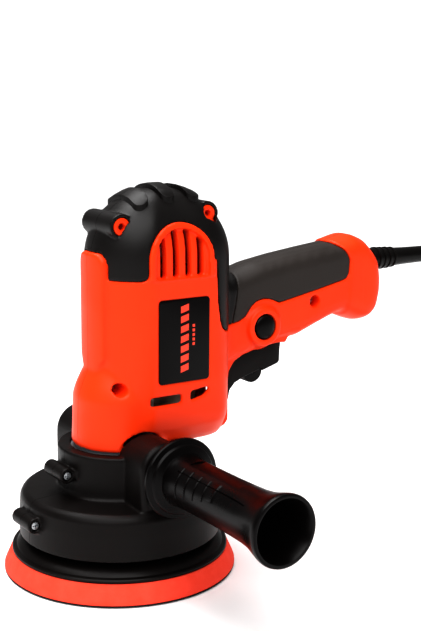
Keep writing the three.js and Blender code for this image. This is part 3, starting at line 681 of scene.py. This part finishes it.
def plate_outline(grow):
    left, right, low, high, r = 9 - grow, 46 + grow, 124 - grow, 177 + grow, 2.2
    return arc((left + r, low + r), r, 180, 270, 5) + arc((right - r, low + r), r, 270, 360, 5) \
        + arc((right - r, high - r), r, 0, 90, 5) + arc((left + r, high - r), r, 90, 180, 5)


def make_plates():
    """Gloss plates with a plain made-up pattern: a column of slanted bars beside a row of small squares."""
    for name, sign in (("left", -1), ("right", 1)):
        plate = chamfered(slab("xz", plate_outline(0), *sorted((sign * 33.4, sign * 34.3))), 0.3, 2)
        place(smooth(plate), f"name_plate_{name}", "housing", GLOSS_ABS, "gloss_black", f"label_{name}")
        marks = []
        for row in range(7):
            low = 130.2 + row * 6.3
            bar = [(24.6, low), (30.4, low + 1.6), (30.4, low + 5.8), (24.6, low + 4.2)]
            marks.append(slab("xz", bar, *sorted((sign * 34.2, sign * 34.42))))
        for row in range(5):
            low = 147 + row * 2.9
            marks.append(block(33.2, 35.0, *sorted((sign * 34.2, sign * 34.4)), low, low + 1.8))
        place(joined(*marks), f"plate_print_{name}", "housing", ORANGE_INK, "orange_plastic")


# ---- controls --------------------------------------------------------------------------------------------

def make_controls():
    trigger = chamfered(slab("xz", TRIGGER_OUTLINE, -11.6, 11.6), 2.2, 3, 25)
    trigger = cut(
        trigger, rod("y", 8.4, -8.8, 8.8, DIAL_CENTRE), rod("y", 1.75, -10.4, 10.4, DIAL_CENTRE, 24))
    place(smooth(trigger), "trigger_lever", "trigger", SATIN_NYLON, "black_plastic", "trigger")

    dial = chamfered(rod("y", 7.8, -8.4, 8.4, DIAL_CENTRE, 72), 0.6, 2)
    for i in range(DIAL_NOTCHES):
        angle = 2 * math.pi * i / DIAL_NOTCHES
        notch = (DIAL_CENTRE[0] + 8.2 * math.cos(angle), DIAL_CENTRE[1] + 8.2 * math.sin(angle))
        dial = cut(dial, rod("y", 0.75, -10, 10, notch, 8))
    dial = joined(dial, rod("y", 1.6, -10, 10, DIAL_CENTRE, 24))
    place(smooth(dial), "speed_wheel", "speed_dial", GLOSS_ABS, "gloss_black", "speed_dial")

    x, z = LOCK_CENTRE
    button = turned([
        (0, 14.6), (4, 14.6), (4, 17.2), (8.2, 17.2), (8.2, 20.6), (7.4, 21.6), (5, 22.4), (2.4, 22.8),
        (0, 22.9)], 64)
    place(smooth(toward(button, OUT_LEFT, x, 0, z), 50), "lock_knob", "lock_button", GLOSS_ABS, "gloss_black",
          "lock_button")


# ---- shroud ----------------------------------------------------------------------------------------------

SCREW_SEATS = ((-66, 40.4), (66, 40.4), (-43.5, 68.4), (43.5, 68.4))
ROUND_STEPS = 128


def make_shroud():
    skirt = turned([
        (62.2, 24.1), (64.7, 24.1), (64.5, 40), (64, 48.6), (62.6, 51.3), (60, 52.9), (50, 53.6),
        (41.4, 54.2), (40, 55.6), (39.8, 58), (39.8, 81), (39.2, 81.6), (31.5, 81.6), (31.5, 79.4),
        (37.1, 77), (37.1, 50.5), (59.5, 50.5), (61.7, 48)], ROUND_STEPS)
    cheeks = [cut(chamfered(slab("xz", boss_outline(0), *sorted((sign * 20, sign * 58))), 3, 3),
                  block(-30, 30, -27.6, 27.6, 40, 110)) for sign in (-1, 1)]
    tubes = [chamfered(rod("y", 5, -12.4, 12.4, at), 0.8, 2) for at in SCREW_SEATS]
    inside = turned([
        (0, 30), (62, 30), (59.4, 50.6), (37.1, 50.6), (37.1, 77), (31.5, 79.4), (31.5, 100),
        (0, 100)], ROUND_STEPS)
    whole = cut(joined(skirt, *cheeks, *tubes), inside, rod("y", 12.8, -70, 70, (0, HANDLE_Z)),
                *[rod("y", 1.9, -20, 20, at, 24) for at in SCREW_SEATS],
                *[rod("y", 3.1, -20, -9, at, 24) for at in SCREW_SEATS])
    for name, half in halves(soften(whole, 0.85, 3)):
        place(smooth(half), f"pad_shroud_{name}", "housing", SATIN_NYLON, "black_plastic", f"shroud_{name}")


def make_screws():
    """Pan-head screws with a cross recess, all along Y with their heads on the left."""
    for number, at in enumerate(SCREW_SEATS, 1):
        place_screw(f"shroud_screw_{number}", at, 1.6, 2.9, -11.6, 10)
    for number, at in enumerate(HOUSING_SCREWS, 1):
        place_screw(f"housing_screw_{number}", at, 1.9, 3.4 if number < 3 else 2.8, -11.5, 12)


def place_screw(node, at, radius, head, low, high):
    screw = turned([
        (0, -high), (radius * 0.5, -high), (radius, 1.5 - high), (radius, -low - 2.2), (head, -low - 2.2),
        (head, -low - 1), (head * 0.8, -low - 0.25), (0, -low)], 32)
    screw = cut(screw, block(-head * 0.6, head * 0.6, -0.35, 0.35, -low - 1.4, -low + 1),
                block(-0.35, 0.35, -head * 0.6, head * 0.6, -low - 1.4, -low + 1))
    screw = toward(screw, OUT_LEFT, at[0], 0, at[1])
    place(smooth(screw), f"{node}_head", "housing", ZINC_STEEL, "steel", node)


# ---- pad -------------------------------------------------------------------------------------------------

PAD_STEPS = 160


def make_pad():
    foam = turned([
        (16, 1.05), (74.3, 1.05), (74.8, 1.5), (74.7, 2.6), (73.9, 4.6), (72.1, 8.6), (70.6, 12),
        (69.6, 12.8), (16, 12.8)], PAD_STEPS)
    place(smooth(foam), "foam_ring", "spindle_assembly", PU_FOAM, "red_foam", "foam_pad")
    hook = turned([(0, 0.1), (74.2, 0.1), (74.7, 0.4), (74.6, 0.8), (74.2, 1.0), (0, 1.0)], PAD_STEPS)
    place(smooth(hook), "hook_disc", "spindle_assembly", HOOK_NYLON, "hook_fabric", "hook_face")
    plate = turned([
        (13.3, 4), (15.7, 4), (15.7, 13.1), (69.2, 13.1), (69.6, 13.6), (69.6, 14.7), (69, 15.4),
        (66.8, 15.9), (66, 17), (62, 19.4), (56, 20.2), (55, 19.6), (53, 19.6), (52, 20.4), (40, 20.6),
        (24, 24), (13.3, 24)], PAD_STEPS)
    place(smooth(plate), "backing_disc", "spindle_assembly", SATIN_NYLON, "black_plastic", "backing_plate")


# ---- side handle -----------------------------------------------------------------------------------------

def make_side_handle():
    grip = turned([
        (5.3, 0), (10.8, 0), (11.5, 0.8), (12.5, 12), (13.6, 13.4), (24.2, 14.4), (24.9, 15),
        (24.9, 16.4), (24.3, 17.2), (21.6, 18), (21, 19.2), (20.4, 19.6), (17.4, 19.9), (16.4, 20.6),
        (16.1, 22), (15.7, 26), (15.4, 33), (15.3, 40), (15.3, 50), (15.3, 62), (15.4, 72), (15.6, 82),
        (16, 92), (16.8, 100), (18.2, 106.5), (19.8, 112), (20.6, 115), (20.8, 117), (20.5, 118.2),
        (19.6, 118.6), (18.4, 118.4), (17.2, 116.8), (15.4, 110), (12.4, 100), (10.5, 62), (10.5, 45),
        (5.3, 45)], 96)
    rings = []
    for i in range(5):
        length = 33 + i * 9
        reach = 15.95 - i * 0.06
        rings.append(common(
            turned([(12, length), (reach - 0.4, length), (reach, length + 0.6), (reach - 0.4, length + 1.2),
                    (12, length + 1.2)], 96),
            block(-30, -6, -4 + i * 2, 13, 0, 80)))
    grip = joined(grip, *rings)
    lines = [block(*sorted((out * 10.6, out * 20)), *sorted((down * 10.4, down * 10.9)), 30, 98)
             for out in (-1, 1) for down in (-1, 1)]
    panels = [block(-7, 7, *sorted((up * 14.4, up * 20)), 34, 84) for up in (-1, 1)]
    grip = cut(grip, *lines, *panels)
    grip = toward(grip, OUT_LEFT, 0, HANDLE_Y, HANDLE_Z)
    place(smooth(grip), "side_grip", "housing", GLOSS_ABS, "black_plastic", "side_handle")


# ---- sleeve, cord, tie and plug --------------------------------------------------------------------------

def make_cord():
    sleeve = turned([
        (3.6, -4), (4.9, -4), (4.9, 8), (7.4, 8.4), (7.6, 9), (7.7, 14), (7.2, 22), (6.6, 30), (6.2, 40),
        (6.0, 52), (5.9, 60), (5.6, 63.4), (4.2, 64), (3.6, 64)], 48)
    folds = [chamfered(turned([(5, low), (reach, low + 0.4), (reach, low + 2.2), (5, low + 2.6)], 48), 0.3, 2)
             for low, reach in ((12, 8.3), (17, 8.0), (22, 7.8), (27, 7.4))]
    sleeve = joined(sleeve, *folds)
    place(smooth(toward(sleeve, ALONG_X, 198, 0, 184)), "cord_sleeve", "housing", LEAD_PVC, "black_plastic",
          "strain_relief")

    strap = cut(block(247.6, 272.8, -70, -62, 0.3, 17.2), block(249.2, 271.2, -75, -57, 1.6, 15.9))
    strap = chamfered(strap, 0.35, 2)
    tab = chamfered(block(254, 268, -69.4, -62.6, 17, 18), 0.3, 2)
    place(smooth(joined(strap, tab)), "cord_strap", "housing", HOOK_NYLON, "natural_plastic", "cord_tie")

    body = slab("xy", mirrored([(242.7, 5), (230.7, 5.5), (224.7, 13), (202.7, 13.5)]), -8, 8)
    body.location = (0, -113.3 * MM, 8.4 * MM)
    body = chamfered(settle(body), 1.6, 3, 25)
    ridges = [chamfered(block(206 + i * 3, 207.2 + i * 3, -127.3, -99.3, 2.4, 14.4), 0.3, 1)
              for i in range(5)]
    place(smooth(joined(body, *ridges)), "mains_plug", "housing", LEAD_PVC, "black_plastic", "plug_body")

    cord = cord_curve()
    place(cord, "mains_lead", "housing", LEAD_PVC, "black_plastic", "power_cord", "cord_coil", "cord_tail")
    Vector(route()[0]) * MM


# ---- inner works: the frame's own shapes with their real finishes ------------------------------------------

INNER_FINISHES = {
    "spindle": TURNED_STEEL,
    "hub_insert": TURNED_STEEL,
    "spindle_circlip": GEAR_STEEL,
    "driven_gear": GEAR_STEEL,
    "armature_shaft": TURNED_STEEL,
    "cooling_fan": NATURAL_NYLON,
    "armature_core": LAMINATED_STEEL,
    "armature_windings": WOUND_COPPER,
    "commutator": PRESSED_BRASS,
    "stator_core": LAMINATED_STEEL,
    "field_coil_front": WOUND_COPPER,
    "field_coil_rear": WOUND_COPPER,
    "brush_holder_front": PRESSED_BRASS,
    "brush_holder_rear": PRESSED_BRASS,
    "carbon_brush_front": CARBON_BRUSH,
    "carbon_brush_rear": CARBON_BRUSH,
    "front_armature_bearing": TURNED_STEEL,
    "rear_armature_bearing": TURNED_STEEL,
    "gear_case": CAST_ALUMINIUM,
    "spindle_bearing": TURNED_STEEL,
    "spindle_bush": PRESSED_BRASS,
    "bearing_bracket": CAST_ALUMINIUM,
    "switch_body": SATIN_NYLON,
    "trigger_spring": ZINC_STEEL,
    "lock_spring": ZINC_STEEL,
    "side_handle_bolt": ZINC_STEEL,
    "cord_clamp": NATURAL_NYLON,
    "plug_pin_a": PRESSED_BRASS,
    "plug_pin_b": PRESSED_BRASS,
}


def dress_inner_works():
    for name, made in INNER_FINISHES.items():
        dress(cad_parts[name], made)


# ---- floor and light -------------------------------------------------------------------------------------

SKY_STRENGTH = 0.25
SUN_STRENGTH = 2.4
# Degrees of sky that the sun fills, which sets how soft its shadows are
SUN_WIDTH = 60


def light(place_at, aim, size, power):
    bpy.ops.object.light_add(type="AREA", location=place_at)
    lamp = bpy.context.object
    lamp.data.shape = "RECTANGLE"
    lamp.data.size, lamp.data.size_y = size
    lamp.data.energy = power
    lamp.rotation_euler = (Vector(aim) - Vector(place_at)).to_track_quat("-Z", "Y").to_euler()


def make_studio():
    bpy.ops.mesh.primitive_plane_add(size=8, location=(0, 0, -0.0005))
    floor = bpy.context.object
    floor.name = "floor"
    # White matt paper: even, with a breath of variation so that it isn't dead flat.
    dress(floor, finish("white_matt_paper", "#FFFFFF", "#FBFBFB", 0.9, 3, 0.01, patch=600))
    world = bpy.data.worlds.new("studio") if scene.world is None else scene.world
    scene.world = world
    world.use_nodes = True
    tree = world.node_tree
    tree.nodes.clear()
    # Lamps and sky give a soft, even wash; what the lens sees past the paper is plain white.
    ray = add(tree, "ShaderNodeLightPath")
    wash = add(tree, "ShaderNodeBackground", {"Color": (1, 1, 1, 1), "Strength": SKY_STRENGTH})
    paper = add(tree, "ShaderNodeBackground", {"Color": (1, 1, 1, 1), "Strength": 1.0})
    mix = add(tree, "ShaderNodeMixShader",
              links={0: ray.outputs["Is Camera Ray"], 1: wash.outputs[0], 2: paper.outputs[0]})
    add(tree, "ShaderNodeOutputWorld", links={"Surface": mix.outputs[0]})
    bpy.ops.object.light_add(type="SUN", location=(-1, -1.4, 2))
    sun = bpy.context.object
    sun.data.energy = SUN_STRENGTH
    sun.data.angle = math.radians(SUN_WIDTH)
    sun.rotation_euler = Vector((0.45, 0.5, -1.0)).to_track_quat("-Z", "Y").to_euler()
    light((-0.1, 0.35, 1.1), (0, 0, 0.15), (0.9, 0.5), 7)
    light((-0.7, -0.1, 0.8), (0, 0, 0.2), (0.2, 0.6), 0.4)
    scene.view_settings.view_transform = "Standard"
    scene.view_settings.look = "High Contrast"


make_cord()
make_housing()
make_plates()
make_controls()
make_shroud()
make_screws()
make_pad()
make_side_handle()
dress_inner_works()
make_studio()
